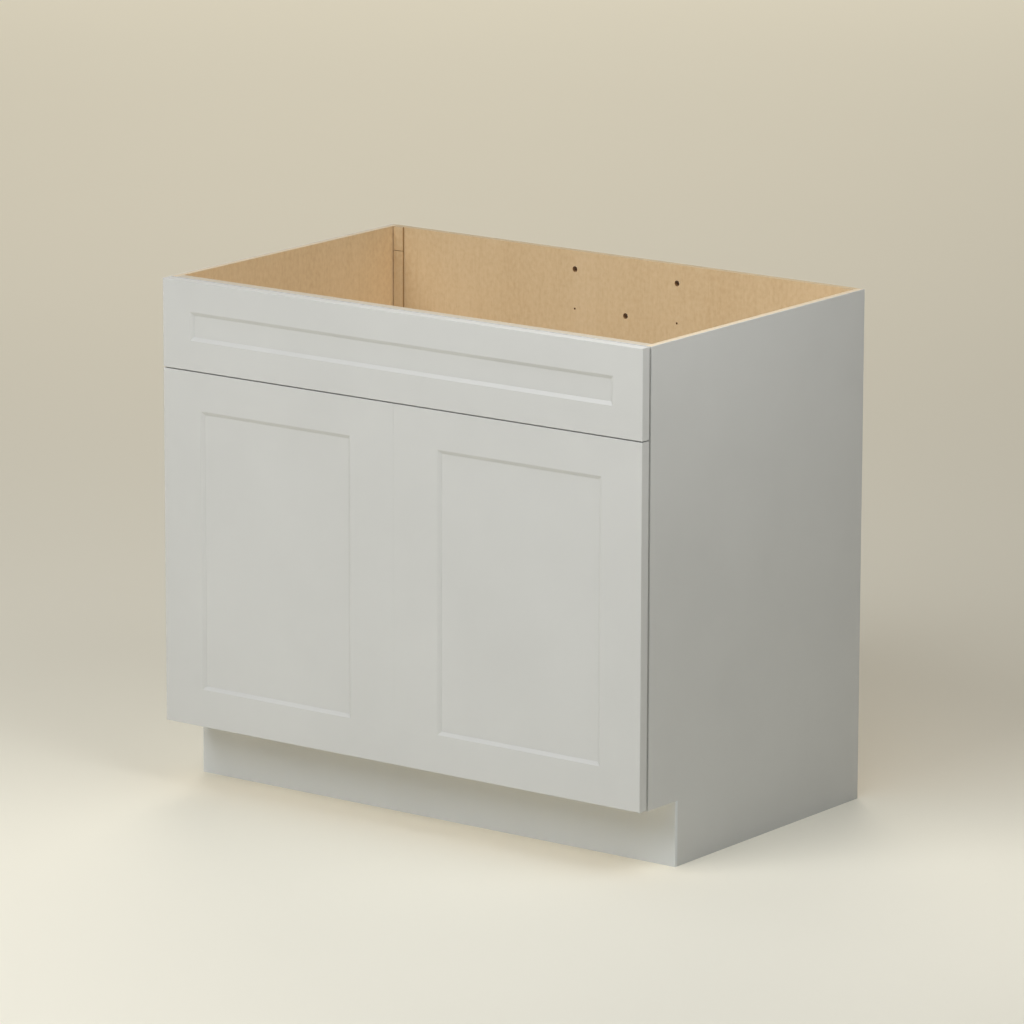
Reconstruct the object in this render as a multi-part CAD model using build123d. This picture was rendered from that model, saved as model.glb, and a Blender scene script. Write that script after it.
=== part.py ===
from build123d import *
import os
from math import hypot

# Sink base cabinet, 39 inches wide: a frameless plywood box, open at the top for the sink,
# with a fixed false front over a pair of doors that turn on single-pivot cup hinges.
# Millimetres. The origin is on the floor, under the middle of the cabinet's outer box.
# +X is to the right as seen from the front, +Y goes to the wall, +Z is up.
# The left door and its hardware are drawn, and the right ones are their mirror images.

# Plywood box
CABINET_WIDTH = 990.6
CABINET_HEIGHT = 876.3
BOX_DEPTH = 609.6
SIDE_THICKNESS = 12.7
BACK_THICKNESS = 12.7
BOTTOM_THICKNESS = 12.7
RAIL_THICKNESS = 19.05
TOP_RAIL_HEIGHT = 88.9
MIDDLE_RAIL_HEIGHT = 50.8

# Base under the bottom panel
TOE_HEIGHT = 111.0
TOE_SETBACK = 76.2
TOE_SKIN_THICKNESS = 6.35
TOE_SKIN_EASE = 1.5
TOE_BOARD_THICKNESS = 12.7
REAR_RAIL_THICKNESS = 12.7
STRINGER_THICKNESS = 19.05

# Battens and blocks in the two rear corners
BATTEN_WIDTH = 20.5
BATTEN_INSET = 1.5
BATTEN_THICKNESS = 4.0
CORNER_BLOCK_HEIGHT = 42.0
CORNER_BLOCK_GAP = 0.8

# Holes through the back panel, as drops below its top and offsets from its middle
BACK_HOLE_RADIUS = 5.0
PILOT_HOLE_RADIUS = 1.9
BACK_HOLE_SPACING = 214.0
BACK_HOLE_OFFSET = 15.5
UPPER_HOLE_DROP = 32.0
LOWER_HOLE_DROP = 101.0

# Fronts: false front and doors
FRONT_THICKNESS = 19.05
FRONT_GAP = 3.175
SIDE_REVEAL = 1.2
BOTTOM_REVEAL = 1.5
FALSE_FRONT_HEIGHT = 151.1
ROW_GAP = 2.0
MEETING_GAP = 0.1
MEETING_OFFSET = -6.3
MEETING_SLANT = 0.5
HINGE_STILE_WIDTH = 80.0
MEETING_STILE_WIDTH = 90.3
DOOR_RAIL_WIDTH = 65.0
END_STILE_WIDTH = 58.0
FALSE_RAIL_WIDTH = 51.0
PANEL_THICKNESS = 6.35
RECESS_DEPTH = 4.0
BEVEL_WIDTH = 6.0
BEVEL_LAND = 0.5
GROOVE_DEPTH = 12.0
PANEL_CLEARANCE = 0.8
TENON_CLEARANCE = 0.5
FRONT_EASE = 1.0
BACK_EASE = 0.8

# Single-pivot cup hinges
HINGE_END_DISTANCE = 100.0
CUP_RADIUS = 17.5
CUP_DEPTH = 13.0
CUP_EDGE_DISTANCE = 3.5
CUP_FIT = 0.1
CUP_FLOOR = 0.7
WELL_FAR_WALL = 2.5
WELL_HALF_WIDTH = 6.2
WELL_NEAR_WALL = 2.0
FLANGE_RADIUS = 18.5
FLANGE_THICKNESS = 1.0
FLANGE_TAB_WIDTH = 12.0
CUP_SCREW_SPACING = 45.0
CUP_SCREW_OFFSET = 9.5
PIN_RADIUS = 1.25
PIN_LENGTH = 19.0
PIN_FIT = 0.02
PIN_CLEARANCE = 0.05
PIN_RIM_DISTANCE = 4.5
PIN_BACK_DISTANCE = 10.0
KNUCKLE_RADIUS = 2.0
NECK_CLEARANCE = 0.5
NECK_HALF_WIDTH = 5.0
ARM_SHEET = 2.0
ARM_HALF_WIDTH = 7.0
ARM_WALL = 1.5
ARM_SETBACK = 2.0
ARM_LENGTH = 60.0
ARM_BEND = 2.5
PLATE_LINE = 37.0
PLATE_SHEET = 2.5
PLATE_WIDTH = 18.0
PLATE_SCREW_SPACING = 32.0
PLATE_WING = 7.0
RIB_SETBACK = 18.0
RIB_LENGTH = 42.0
RIB_CLEARANCE = 0.1
ARM_LIFT = 0.3
SPRING_SHEET = 0.8
SPRING_HALF_WIDTH = 4.0
ADJUSTER_SPACING = 24.0

# Screws, dowels, pads and spacers
DOWEL_RADIUS = 4.0
DOWEL_FIT = 0.05
DOWEL_IN_SIDE = 9.0
DOWEL_IN_BOARD = 21.0
DOWEL_END_CLEARANCE = 0.5
DOWEL_MARGIN = 50.0
BOARD_DOWEL_COUNT = 4
RAIL_DOWEL_COUNT = 2
RAIL_DOWEL_INSET = 14.0
WOOD_SCREW_RADIUS = 1.75
WOOD_SCREW_HEAD_RADIUS = 3.6
WOOD_SCREW_HEAD_HEIGHT = 2.0
CUP_SCREW_LENGTH = 12.0
PLATE_SCREW_RADIUS = 2.5
PLATE_SCREW_LENGTH = 12.5
SIDE_HOLE_DEPTH = 10.5
ADJUSTER_RADIUS = 2.0
ADJUSTER_LENGTH = 5.0
BACK_SCREW_LENGTH = 32.0
BACK_SCREW_COUNT = 5
FALSE_SCREW_GRIP = 13.0
FALSE_SCREW_INSET = 200.0
FALSE_SCREW_DROP = 28.0
FALSE_SCREW_RISE = 12.0
SCREW_CLEARANCE = 0.1
CROSS_WIDTH = 0.9
CROSS_SPAN = 4.3
SPACER_RADIUS = 9.0
BUMPER_RADIUS = 4.0
BUMPER_CLEARANCE = 0.1
BUMPER_ROUND = 1.3
BUMPER_INSET = 20.0

# Planes and places that follow from the sizes above
HALF_WIDTH = CABINET_WIDTH / 2
INNER_HALF = HALF_WIDTH - SIDE_THICKNESS
TOTAL_DEPTH = FRONT_THICKNESS + FRONT_GAP + BOX_DEPTH
FRONT_Y = -TOTAL_DEPTH / 2
FRONT_BACK_Y = FRONT_Y + FRONT_THICKNESS
BOX_FRONT_Y = FRONT_BACK_Y + FRONT_GAP
BOX_BACK_Y = TOTAL_DEPTH / 2
BACK_FACE_Y = BOX_BACK_Y - BACK_THICKNESS
RAIL_BACK_Y = BOX_FRONT_Y + RAIL_THICKNESS
TOE_FACE_Y = BOX_FRONT_Y + TOE_SETBACK
TOE_BOARD_Y = TOE_FACE_Y + TOE_SKIN_THICKNESS
REAR_RAIL_Y = BACK_FACE_Y - REAR_RAIL_THICKNESS
FLOOR_Z = TOE_HEIGHT + BOTTOM_THICKNESS
FALSE_FRONT_Z = CABINET_HEIGHT - FALSE_FRONT_HEIGHT
DOOR_TOP_Z = FALSE_FRONT_Z - ROW_GAP
DOOR_Z = TOE_HEIGHT + BOTTOM_REVEAL
DOOR_HEIGHT = DOOR_TOP_Z - DOOR_Z
FRONTS_HALF = HALF_WIDTH - SIDE_REVEAL
LEFT_DOOR_WIDTH = FRONTS_HALF + MEETING_OFFSET - MEETING_GAP / 2
RIGHT_DOOR_WIDTH = FRONTS_HALF - MEETING_OFFSET - MEETING_GAP / 2
ROW_MIDDLE_Z = (FALSE_FRONT_Z + DOOR_TOP_Z) / 2
MIDDLE_RAIL_Z = ROW_MIDDLE_Z - MIDDLE_RAIL_HEIGHT / 2
MIDDLE_RAIL_TOP = MIDDLE_RAIL_Z + MIDDLE_RAIL_HEIGHT
TOP_RAIL_Z = CABINET_HEIGHT - TOP_RAIL_HEIGHT

# The left hinge pins, and the neck of the arm that the door's edge swings past
PIN_X = -FRONTS_HALF + CUP_EDGE_DISTANCE + PIN_RIM_DISTANCE
PIN_Y = FRONT_BACK_Y - PIN_BACK_DISTANCE
CUP_CENTRE = CUP_RADIUS - PIN_RIM_DISTANCE
FLANGE_EDGE = FLANGE_RADIUS - CUP_CENTRE
FLANGE_BACK = PIN_BACK_DISTANCE + FLANGE_THICKNESS
EDGE_SWING = BACK_EASE + hypot(
    CUP_EDGE_DISTANCE + PIN_RIM_DISTANCE - BACK_EASE, PIN_BACK_DISTANCE - BACK_EASE
)
FLANGE_SWING = hypot(FLANGE_EDGE, FLANGE_BACK)
NECK_INNER = max(EDGE_SWING, FLANGE_SWING) + NECK_CLEARANCE
NECK_OUTER = NECK_INNER + ARM_SHEET
SIDE_FACE = -INNER_HALF - PIN_X
BOX_FRONT = BOX_FRONT_Y - PIN_Y
HINGE_HEIGHTS = (DOOR_Z + HINGE_END_DISTANCE, DOOR_TOP_Z - HINGE_END_DISTANCE)
ARM_START = BOX_FRONT + ARM_SETBACK
RIB_START = BOX_FRONT + RIB_SETBACK
NEAR = 0.01
LONG = 2 * CABINET_WIDTH


def span_box(x, y, z):
    """A box between the (low, high) limits along each axis."""
    limits = (x, y, z)
    middle = [(low + high) / 2 for low, high in limits]
    size = [high - low for low, high in limits]
    return Pos(*middle) * Box(*size)


def rod(radius, start, end):
    """A round rod between two points."""
    start = Vector(*start)
    run = Vector(*end) - start
    base = (Align.CENTER, Align.CENTER, Align.MIN)
    return Plane(origin=start, z_dir=run) * Cylinder(radius, run.length, align=base)


def spread(low, high, count, margin):
    """Evenly spaced places between two limits, with a margin at each end."""
    first = low + margin
    step = (high - low - 2 * margin) / (count - 1)
    return [first + step * index for index in range(count)]


def cut(board, holes):
    """The board with every hole taken out of it."""
    for hole in holes:
        board = board - hole
    return board


def mirrored(solids):
    """The same solids on the other side of the cabinet."""
    return [mirror(solid, about=Plane.YZ) for solid in solids]


def edges_at(solid, places):
    """The solid's edges whose middles lie at every (axis, value) place."""
    found = solid.edges()
    for axis, value in places:
        found = found.filter_by_position(axis, value - NEAR, value + NEAR)
    return found


def pan_screw(radius, length, start, direction):
    """A pan-head screw whose head sits on start, with a cross recess in the head."""
    start = Vector(*start)
    direction = Vector(*direction)
    top = start - direction * WOOD_SCREW_HEAD_HEIGHT
    scale = radius / WOOD_SCREW_RADIUS
    head = rod(WOOD_SCREW_HEAD_RADIUS * scale, top, start)
    rim = head.edges().filter_by(GeomType.CIRCLE).sort_by(Axis(start, direction))[0]
    head = fillet(rim, WOOD_SCREW_HEAD_HEIGHT / 2)
    slot = Box(CROSS_SPAN * scale, CROSS_WIDTH * scale, WOOD_SCREW_HEAD_HEIGHT)
    cross = slot + Rot(0, 0, 90) * slot
    head = head - Plane(origin=top, z_dir=direction) * cross
    return head + rod(radius, start, start + direction * length)


def flat_screw(radius, length, start, direction):
    """A countersunk screw whose flat head is flush with start."""
    start = Vector(*start)
    direction = Vector(*direction)
    head_radius = WOOD_SCREW_HEAD_RADIUS * radius / WOOD_SCREW_RADIUS
    depth = head_radius - radius
    base = (Align.CENTER, Align.CENTER, Align.MIN)
    head = Plane(origin=start, z_dir=direction) * Cone(head_radius, radius, depth, align=base)
    return head + rod(radius, start, start + direction * length)


# Dowels across the ends of the boards between the two sides

BOARD_ENDS = {
    "bottom_panel": [
        (y, TOE_HEIGHT + BOTTOM_THICKNESS / 2)
        for y in spread(BOX_FRONT_Y, BACK_FACE_Y, BOARD_DOWEL_COUNT, DOWEL_MARGIN)
    ],
    "back_panel": [
        (BACK_FACE_Y + BACK_THICKNESS / 2, z)
        for z in spread(TOE_HEIGHT, CABINET_HEIGHT, BOARD_DOWEL_COUNT, DOWEL_MARGIN)
    ],
    "front_top_rail": [
        (BOX_FRONT_Y + RAIL_THICKNESS / 2, z)
        for z in spread(TOP_RAIL_Z, CABINET_HEIGHT, RAIL_DOWEL_COUNT, RAIL_DOWEL_INSET)
    ],
    "front_middle_rail": [
        (BOX_FRONT_Y + RAIL_THICKNESS / 2, z)
        for z in spread(MIDDLE_RAIL_Z, MIDDLE_RAIL_TOP, RAIL_DOWEL_COUNT, RAIL_DOWEL_INSET)
    ],
    "toe_kick_board": [
        (TOE_BOARD_Y + TOE_BOARD_THICKNESS / 2, z)
        for z in spread(0, TOE_HEIGHT, RAIL_DOWEL_COUNT, RAIL_DOWEL_INSET)
    ],
    "rear_base_rail": [
        (REAR_RAIL_Y + REAR_RAIL_THICKNESS / 2, z)
        for z in spread(0, TOE_HEIGHT, RAIL_DOWEL_COUNT, RAIL_DOWEL_INSET)
    ],
}


def end_rods(places, radius, end_clearance):
    """Rods along X that cross both joints between a board and the sides."""
    outer = INNER_HALF + DOWEL_IN_SIDE + end_clearance
    inner = INNER_HALF - DOWEL_IN_BOARD - end_clearance
    return [
        rod(radius, (side * inner, y, z), (side * outer, y, z))
        for side in (-1, 1)
        for y, z in places
    ]


def dowels(board):
    """The dowels at both ends of one board."""
    return end_rods(BOARD_ENDS[board], DOWEL_RADIUS, 0)


def dowel_holes(board):
    """The holes for the dowels at both ends of one board."""
    return end_rods(BOARD_ENDS[board], DOWEL_RADIUS + DOWEL_FIT, DOWEL_END_CLEARANCE)


# Screw places


def back_screw_starts():
    """Places of the screws through the back panel into the bottom panel's rear edge."""
    z = TOE_HEIGHT + BOTTOM_THICKNESS / 2
    return [(x, BOX_BACK_Y, z) for x in spread(-INNER_HALF, INNER_HALF, BACK_SCREW_COUNT, DOWEL_MARGIN)]


def false_screw_starts():
    """Places of the screws from inside the box into the false front."""
    inset = HALF_WIDTH - FALSE_SCREW_INSET
    heights = (CABINET_HEIGHT - FALSE_SCREW_DROP, FALSE_FRONT_Z + FALSE_SCREW_RISE)
    return [(x, RAIL_BACK_Y, z) for x in (-inset, inset) for z in heights]


def plate_screw_starts():
    """Places of the left mounting plates' screws, on the outside of the plate's sheet."""
    x = -INNER_HALF + PLATE_SHEET
    y = BOX_FRONT_Y + PLATE_LINE
    half = PLATE_SCREW_SPACING / 2
    return [(x, y, z + step) for z in HINGE_HEIGHTS for step in (-half, half)]


FALSE_SCREW_LENGTH = RAIL_THICKNESS + FRONT_GAP + FALSE_SCREW_GRIP


# Plywood box


def side_panel_left():
    """Left side, notched for the toe space and bored for dowels and hinge screws."""
    board = span_box((-HALF_WIDTH, -INNER_HALF), (BOX_FRONT_Y, BOX_BACK_Y), (0, CABINET_HEIGHT))
    notch = span_box((-LONG, LONG), (-LONG, TOE_BOARD_Y), (-LONG, TOE_HEIGHT))
    holes = [hole for name in BOARD_ENDS for hole in dowel_holes(name)]
    radius = PLATE_SCREW_RADIUS + SCREW_CLEARANCE
    for x, y, z in plate_screw_starts():
        holes.append(rod(radius, (x, y, z), (-INNER_HALF - SIDE_HOLE_DEPTH, y, z)))
    return cut(board - notch, holes)


def bottom_panel():
    """Floor of the cabinet, between the sides and in front of the back."""
    board = span_box((-INNER_HALF, INNER_HALF), (BOX_FRONT_Y, BACK_FACE_Y), (TOE_HEIGHT, FLOOR_Z))
    return cut(board, dowel_holes("bottom_panel") + back_screw_holes())


def back_screw_holes():
    """Countersunk holes for the back screws."""
    direction = (0, -1, 0)
    radius = WOOD_SCREW_RADIUS + SCREW_CLEARANCE
    length = BACK_SCREW_LENGTH + SCREW_CLEARANCE
    return [flat_screw(radius, length, start, direction) for start in back_screw_starts()]


def back_panel():
    """Back, with three holes and two pilot holes near its top."""
    width = (-INNER_HALF, INNER_HALF)
    board = span_box(width, (BACK_FACE_Y, BOX_BACK_Y), (TOE_HEIGHT, CABINET_HEIGHT))
    upper = CABINET_HEIGHT - UPPER_HOLE_DROP
    lower = CABINET_HEIGHT - LOWER_HOLE_DROP
    half = BACK_HOLE_SPACING / 2
    places = [
        (-half, upper, BACK_HOLE_RADIUS),
        (half, upper, BACK_HOLE_RADIUS),
        (0, lower, BACK_HOLE_RADIUS),
        (-half, lower, PILOT_HOLE_RADIUS),
        (half, lower, PILOT_HOLE_RADIUS),
    ]
    holes = []
    for offset, z, radius in places:
        x = BACK_HOLE_OFFSET + offset
        holes.append(rod(radius, (x, BACK_FACE_Y - NEAR, z), (x, BOX_BACK_Y + NEAR, z)))
    return cut(board, holes + dowel_holes("back_panel") + back_screw_holes())


def front_rail(name, low, high):
    """An upright rail between the sides, behind the fronts, bored for the screws through it."""
    board = span_box((-INNER_HALF, INNER_HALF), (BOX_FRONT_Y, RAIL_BACK_Y), (low, high))
    radius = WOOD_SCREW_RADIUS + 2 * SCREW_CLEARANCE
    holes = [rod(radius, (x, y, z), (x, FRONT_Y, z)) for x, y, z in false_screw_starts()]
    return cut(board, holes + dowel_holes(name))


def box_pieces():
    """Every board of the box, with its dowels and screws."""
    between = (-INNER_HALF, INNER_HALF)
    full = (-HALF_WIDTH, HALF_WIDTH)
    foot = (0, TOE_HEIGHT)
    side = side_panel_left()
    skin = span_box(full, (TOE_FACE_Y, TOE_BOARD_Y), foot)
    skin_corners = edges_at(skin, [(Axis.Y, TOE_FACE_Y), (Axis.Z, TOE_HEIGHT / 2)])
    toe_board = span_box(between, (TOE_BOARD_Y, TOE_BOARD_Y + TOE_BOARD_THICKNESS), foot)
    rear_rail = span_box(between, (REAR_RAIL_Y, BACK_FACE_Y), foot)
    half_stringer = STRINGER_THICKNESS / 2
    stringer_run = (TOE_BOARD_Y + TOE_BOARD_THICKNESS, REAR_RAIL_Y)
    corner_start = -INNER_HALF + BATTEN_INSET
    corner = (corner_start, corner_start + BATTEN_WIDTH)
    corner_depth = (BACK_FACE_Y - BATTEN_THICKNESS, BACK_FACE_Y)
    block_z = CABINET_HEIGHT - CORNER_BLOCK_HEIGHT
    batten = span_box(corner, corner_depth, (FLOOR_Z, block_z - CORNER_BLOCK_GAP))
    block = span_box(corner, corner_depth, (block_z, CABINET_HEIGHT))
    back_screws = [
        flat_screw(WOOD_SCREW_RADIUS, BACK_SCREW_LENGTH, start, (0, -1, 0))
        for start in back_screw_starts()
    ]
    return {
        "side_panel_left": [side],
        "side_panel_right": mirrored([side]),
        "bottom_panel": [bottom_panel()],
        "back_panel": [back_panel()],
        "front_top_rail": [front_rail("front_top_rail", TOP_RAIL_Z, CABINET_HEIGHT)],
        "front_middle_rail": [front_rail("front_middle_rail", MIDDLE_RAIL_Z, MIDDLE_RAIL_TOP)],
        "toe_kick_skin": [fillet(skin_corners, TOE_SKIN_EASE)],
        "toe_kick_board": [cut(toe_board, dowel_holes("toe_kick_board"))],
        "rear_base_rail": [cut(rear_rail, dowel_holes("rear_base_rail"))],
        "base_stringer": [span_box((-half_stringer, half_stringer), stringer_run, foot)],
        "rear_batten_left": [batten],
        "rear_batten_right": mirrored([batten]),
        "rear_corner_block_left": [block],
        "rear_corner_block_right": mirrored([block]),
        "bottom_panel_dowels": dowels("bottom_panel"),
        "back_panel_dowels": dowels("back_panel"),
        "front_rail_dowels": dowels("front_top_rail") + dowels("front_middle_rail"),
        "base_dowels": dowels("toe_kick_board") + dowels("rear_base_rail"),
        "back_panel_screws": back_screws,
    }


# Framed fronts: two stiles and two rails round a panel held in their grooves


def frame_member(face, run, slant=0):
    """A stile or rail drawn flat: its outer edge on X = 0, its front on Y = 0, its run on Z.

    The inner edge slopes back from the face to the recess, and is grooved for the panel.
    The outer edge leans inwards by the slant on its way to the back.
    """
    inner = face + BEVEL_WIDTH
    groove = inner - GROOVE_DEPTH
    panel_back = RECESS_DEPTH + PANEL_THICKNESS
    outline = Polyline(
        (0, 0),
        (face, 0),
        (inner, RECESS_DEPTH - BEVEL_LAND),
        (inner, RECESS_DEPTH),
        (groove, RECESS_DEPTH),
        (groove, panel_back),
        (inner, panel_back),
        (inner, FRONT_THICKNESS),
        (slant, FRONT_THICKNESS),
        close=True,
    )
    return extrude(make_face(outline), run)


def eased(member, front_lines, back_lines):
    """The member with its edges along these lines rounded, on its front and on its back."""
    front = [edge for line in front_lines for edge in edges_at(member, [line, (Axis.Y, FRONT_Y)])]
    member = fillet(front, FRONT_EASE)
    back = [edge for line in back_lines for edge in edges_at(member, [line, (Axis.Y, FRONT_BACK_Y)])]
    return fillet(back, BACK_EASE)


def framed_front(left, bottom, width, height, stiles, rail, slant=0):
    """The left stile, right stile, top rail, bottom rail and panel of one front.

    A slanted right edge is a meeting edge, and stays sharp on its front.
    """
    right = left + width
    top = bottom + height
    ends = [(Axis.Z, bottom), (Axis.Z, top)]
    left_lines = ends + [(Axis.X, left)]
    near_stile = Pos(left, FRONT_Y, bottom) * frame_member(stiles[0], height)
    near_stile = eased(near_stile, left_lines, left_lines)
    right_front = ends if slant else ends + [(Axis.X, right)]
    far_stile = Pos(-right, FRONT_Y, bottom) * frame_member(stiles[1], height, slant)
    far_stile = mirror(far_stile, about=Plane.YZ)
    far_stile = eased(far_stile, right_front, ends + [(Axis.X, right - slant)])
    pocket = GROOVE_DEPTH - BEVEL_WIDTH
    run_start = left + stiles[0] - pocket + TENON_CLEARANCE
    run_end = right - stiles[1] + pocket - TENON_CLEARANCE
    upright = mirror(frame_member(rail, run_end - run_start), about=Plane.YZ)
    lower = eased(Pos(run_start, FRONT_Y, bottom) * Rot(0, 90, 0) * upright, ends[:1], ends[:1])
    lower = lower - near_stile - far_stile
    upper = mirror(lower, about=Plane.XY.offset((bottom + top) / 2))
    slack = pocket - PANEL_CLEARANCE
    panel = span_box(
        (left + stiles[0] - slack, right - stiles[1] + slack),
        (FRONT_Y + RECESS_DEPTH, FRONT_Y + RECESS_DEPTH + PANEL_THICKNESS),
        (bottom + rail - slack, top - rail + slack),
    )
    return near_stile, far_stile, upper, lower, panel


def false_front_pieces():
    """The fixed false front, the pads behind it and the screws that hold it."""
    stiles = (END_STILE_WIDTH, END_STILE_WIDTH)
    size = (2 * FRONTS_HALF, FALSE_FRONT_HEIGHT)
    pieces = framed_front(-FRONTS_HALF, FALSE_FRONT_Z, *size, stiles, FALSE_RAIL_WIDTH)
    pilots = []
    screws = []
    spacers = []
    for x, y, z in false_screw_starts():
        screws.append(pan_screw(WOOD_SCREW_RADIUS, FALSE_SCREW_LENGTH, (x, y, z), (0, -1, 0)))
        pilot_end = (x, y - FALSE_SCREW_LENGTH - SCREW_CLEARANCE, z)
        pilots.append(rod(WOOD_SCREW_RADIUS + SCREW_CLEARANCE, (x, y, z), pilot_end))
        pad = rod(SPACER_RADIUS, (x, FRONT_BACK_Y, z), (x, BOX_FRONT_Y, z))
        spacers.append(pad - pilots[-1])
    return {
        "false_front_stile_left": [pieces[0]],
        "false_front_stile_right": [pieces[1]],
        "false_front_rail_top": [cut(pieces[2], pilots)],
        "false_front_rail_bottom": [cut(pieces[3], pilots)],
        "false_front_panel": [pieces[4]],
        "false_front_spacers": spacers,
        "false_front_screws": screws,
    }


# Single-pivot cup hinge, drawn closed about its pin: X across, Y to the wall, Z along the pin


def cup_screw_starts():
    """Places of one cup's two screws on the outside of its flange."""
    half = CUP_SCREW_SPACING / 2
    return [(CUP_CENTRE + CUP_SCREW_OFFSET, FLANGE_BACK, z) for z in (-half, half)]


def hinge_cup():
    """Cup let into the door's back, with a flange on top and a well for the arm."""
    back = PIN_BACK_DISTANCE
    bottom = back - CUP_DEPTH
    centre = CUP_CENTRE
    body = rod(CUP_RADIUS - CUP_FIT, (centre, bottom, 0), (centre, back, 0))
    disc = rod(FLANGE_RADIUS, (centre, back, 0), (centre, FLANGE_BACK, 0))
    tab_middle = centre + CUP_SCREW_OFFSET
    tab_half = FLANGE_TAB_WIDTH / 2
    tab_end = CUP_SCREW_SPACING / 2 + tab_half
    tab = span_box(
        (tab_middle - tab_half, tab_middle + tab_half), (back, FLANGE_BACK), (-tab_end, tab_end)
    )
    tab = fillet(tab.edges().filter_by(Axis.Y), tab_half / 2)
    well = span_box(
        (WELL_NEAR_WALL - PIN_RIM_DISTANCE, centre + CUP_RADIUS - WELL_FAR_WALL),
        (bottom + CUP_FLOOR, FLANGE_BACK + NEAR),
        (-WELL_HALF_WIDTH, WELL_HALF_WIDTH),
    )
    half_pin = PIN_LENGTH / 2
    holes = [rod(PIN_RADIUS + PIN_FIT, (0, 0, -half_pin), (0, 0, half_pin))]
    radius = WOOD_SCREW_RADIUS + SCREW_CLEARANCE
    for x, y, z in cup_screw_starts():
        holes.append(rod(radius, (x, y + NEAR, z), (x, back - NEAR, z)))
    return cut(body + disc + tab - well, holes)


def hinge_pin():
    """Pin held in the cup's two cheeks."""
    half = PIN_LENGTH / 2
    return rod(PIN_RADIUS, (0, 0, -half), (0, 0, half))


def adjuster_starts():
    """Places of the two screws through the arm's web into the rib of the plate."""
    middle = RIB_START + RIB_LENGTH / 2
    half = ADJUSTER_SPACING / 2
    return [(NECK_OUTER, middle - half, 0), (NECK_OUTER, middle + half, 0)]


def adjuster_holes():
    """Holes for the two adjusting screws."""
    radius = ADJUSTER_RADIUS + SCREW_CLEARANCE
    depth = NECK_OUTER - ARM_SHEET - ADJUSTER_LENGTH
    return [rod(radius, start, (depth, start[1], 0)) for start in adjuster_starts()]


def hinge_arm():
    """Goose-neck arm: a knuckle round the pin, a leg, a neck and a channel over the plate."""
    neck_width = (-NECK_HALF_WIDTH, NECK_HALF_WIDTH)
    half_sheet = ARM_SHEET / 2
    knuckle = rod(KNUCKLE_RADIUS, (0, 0, -NECK_HALF_WIDTH), (0, 0, NECK_HALF_WIDTH))
    leg = span_box((0, NECK_OUTER), (-half_sheet, half_sheet), neck_width)
    neck = span_box((NECK_INNER, NECK_OUTER), (-half_sheet, ARM_START), neck_width)
    hook = leg + neck
    bend = edges_at(hook, [(Axis.X, NECK_OUTER), (Axis.Y, -half_sheet)])
    hook = fillet(bend, ARM_BEND)
    run = (ARM_START, ARM_START + ARM_LENGTH)
    foot = SIDE_FACE + PLATE_SHEET + ARM_LIFT
    channel = span_box((foot, NECK_OUTER), run, (-ARM_HALF_WIDTH, ARM_HALF_WIDTH))
    inner_half = ARM_HALF_WIDTH - ARM_WALL
    hollow = span_box((foot - NEAR, NECK_INNER), (-LONG, LONG), (-inner_half, inner_half))
    bore = rod(PIN_RADIUS + PIN_CLEARANCE, (0, 0, -LONG), (0, 0, LONG))
    return cut(hook + knuckle + (channel - hollow), [bore] + adjuster_holes())


def hinge_spring():
    """Leaf spring under the arm's web, in front of the rib."""
    run = (ARM_START, RIB_START)
    width = (-SPRING_HALF_WIDTH, SPRING_HALF_WIDTH)
    return span_box((NECK_INNER - SPRING_SHEET, NECK_INNER), run, width)


def hinge_plate():
    """Mounting plate on the side, with two wings for the screws and a rib for the arm."""
    line = BOX_FRONT + PLATE_LINE
    half = PLATE_WIDTH / 2
    wing = PLATE_SCREW_SPACING / 2 + PLATE_WING
    top = SIDE_FACE + PLATE_SHEET
    sheet = span_box((SIDE_FACE, top), (line - half, line + half), (-wing, wing))
    sheet = fillet(sheet.edges().filter_by(Axis.X), PLATE_WING / 2)
    rib_half = ARM_HALF_WIDTH - ARM_WALL - RIB_CLEARANCE
    rib = span_box((SIDE_FACE, NECK_INNER), (RIB_START, RIB_START + RIB_LENGTH), (-rib_half, rib_half))
    radius = PLATE_SCREW_RADIUS + SCREW_CLEARANCE
    holes = adjuster_holes()
    for z in (-PLATE_SCREW_SPACING / 2, PLATE_SCREW_SPACING / 2):
        holes.append(rod(radius, (SIDE_FACE - NEAR, line, z), (top + NEAR, line, z)))
    return cut(sheet + rib, holes)


def at_hinges(solid):
    """Copies of a solid drawn about the pin, one at each left hinge."""
    return [Pos(PIN_X, PIN_Y, z) * solid for z in HINGE_HEIGHTS]


def hinge_pieces():
    """The left hinges' pieces, as those on the door and those on the side."""
    cup_screws = [
        pan_screw(WOOD_SCREW_RADIUS, CUP_SCREW_LENGTH, start, (0, -1, 0))
        for start in cup_screw_starts()
    ]
    adjusters = [
        pan_screw(ADJUSTER_RADIUS, ARM_SHEET + ADJUSTER_LENGTH - SCREW_CLEARANCE, start, (-1, 0, 0))
        for start in adjuster_starts()
    ]
    plate_screws = [
        pan_screw(PLATE_SCREW_RADIUS, PLATE_SCREW_LENGTH, start, (-1, 0, 0))
        for start in plate_screw_starts()
    ]
    on_door = {
        "hinge_cups": at_hinges(hinge_cup()),
        "hinge_cup_screws": [copy for screw in cup_screws for copy in at_hinges(screw)],
        "hinge_pins": at_hinges(hinge_pin()),
    }
    on_side = {
        "hinge_arms": at_hinges(hinge_arm()),
        "hinge_springs": at_hinges(hinge_spring()),
        "hinge_plates": at_hinges(hinge_plate()),
        "hinge_adjusters": [copy for screw in adjusters for copy in at_hinges(screw)],
        "hinge_plate_screws": plate_screws,
    }
    return on_door, on_side


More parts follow.
